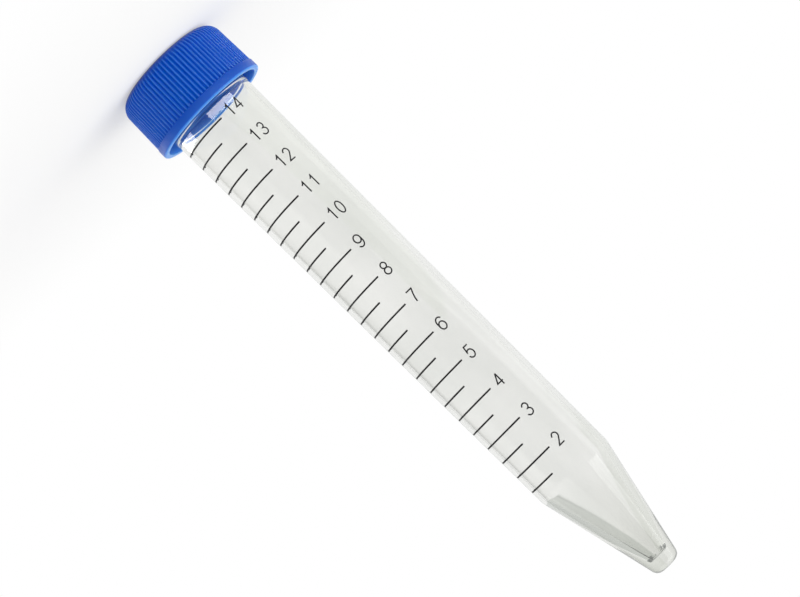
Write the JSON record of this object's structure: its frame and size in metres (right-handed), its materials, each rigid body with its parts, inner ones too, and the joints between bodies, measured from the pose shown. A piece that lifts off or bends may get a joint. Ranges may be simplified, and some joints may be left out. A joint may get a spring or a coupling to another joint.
{
  "type": "conical centrifuge tube with screw cap",
  "caption": "Clear plastic tube with a conical flat-ended tip, a printed volume scale and a ribbed blue screw cap, standing on the cap; the tube lifts off the cap.",
  "frame": {"origin": "centre of the cap's flat closed end, which the part stands on", "axes": "+Z along the tube's axis from the cap to the conical tip; the printed scale faces -Y"},
  "size_m": [0.0222, 0.0222, 0.12],
  "materials": {
    "tube_plastic": "clear, slightly hazy moulded polypropylene",
    "cap_plastic": "satin moulded polyethylene",
    "scale_ink": "printed black ink"
  },
  "bodies": {
    "cap": {"screw_cap": "cap_plastic"},
    "tube": {"tube": "tube_plastic", "graduation_marks": "scale_ink"}
  },
  "joints": [
    {"name": "tube_lift", "type": "slide", "parent": "cap", "child": "tube", "axis": [0, 0, 1], "range_m": [0, 0.03]}
  ]
}
